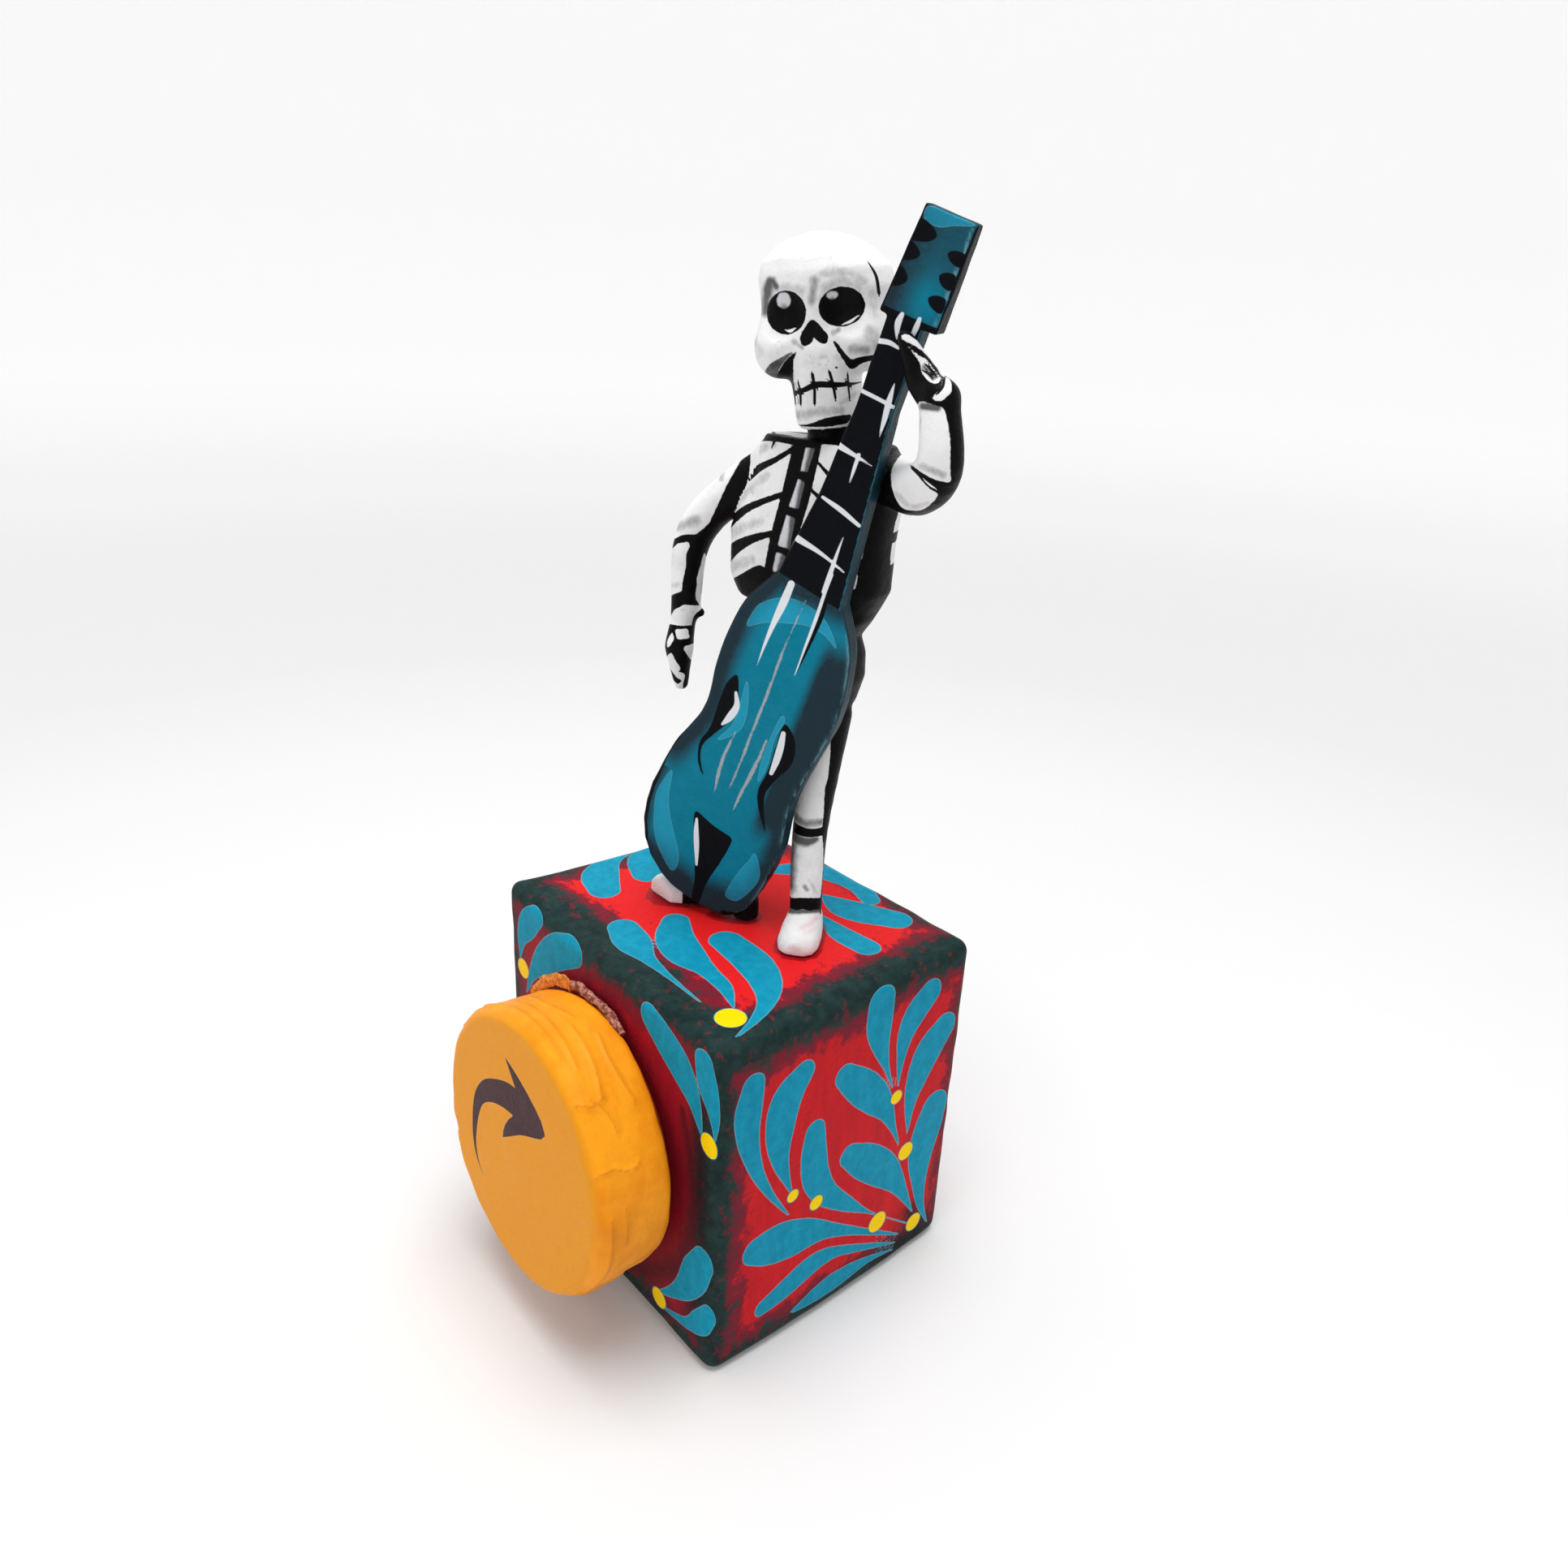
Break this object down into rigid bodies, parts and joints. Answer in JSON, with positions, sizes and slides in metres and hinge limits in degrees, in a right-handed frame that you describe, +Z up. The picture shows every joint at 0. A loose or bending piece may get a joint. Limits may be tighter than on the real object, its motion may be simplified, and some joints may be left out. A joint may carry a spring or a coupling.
{
  "type": "skeleton figure music box",
  "caption": "Painted skeleton figure holding an upright double bass, fixed on a cube-shaped music box with a large round winding knob on its front face.",
  "frame": {"origin": "middle of the flat underside of the music box", "axes": "+Z up; -Y out of the face with the winding knob; +X out of the face on the right of someone who looks at the knob"},
  "size_m": [0.0913, 0.0992, 0.2377],
  "materials": {
    "painted_box": "red and dark green matt paint with blue leaves over pasted paper",
    "ochre_paper": "wrinkled ochre paper, satin varnish",
    "bone_white": "white paint with black bones and grey shading, satin varnish",
    "bass_blue": "blue and slate paint with black edges, satin varnish"
  },
  "bodies": {
    "case": {"music_box": "painted_box", "skeleton": "bone_white", "double_bass": "bass_blue"},
    "knob": {"winding_knob": "ochre_paper"}
  },
  "joints": [
    {"name": "knob_turn", "type": "hinge", "parent": "case", "child": "knob", "pos_m": [0, -0.0371, 0.0438], "axis": [0, -0.9981, 0.061], "continuous": true}
  ]
}
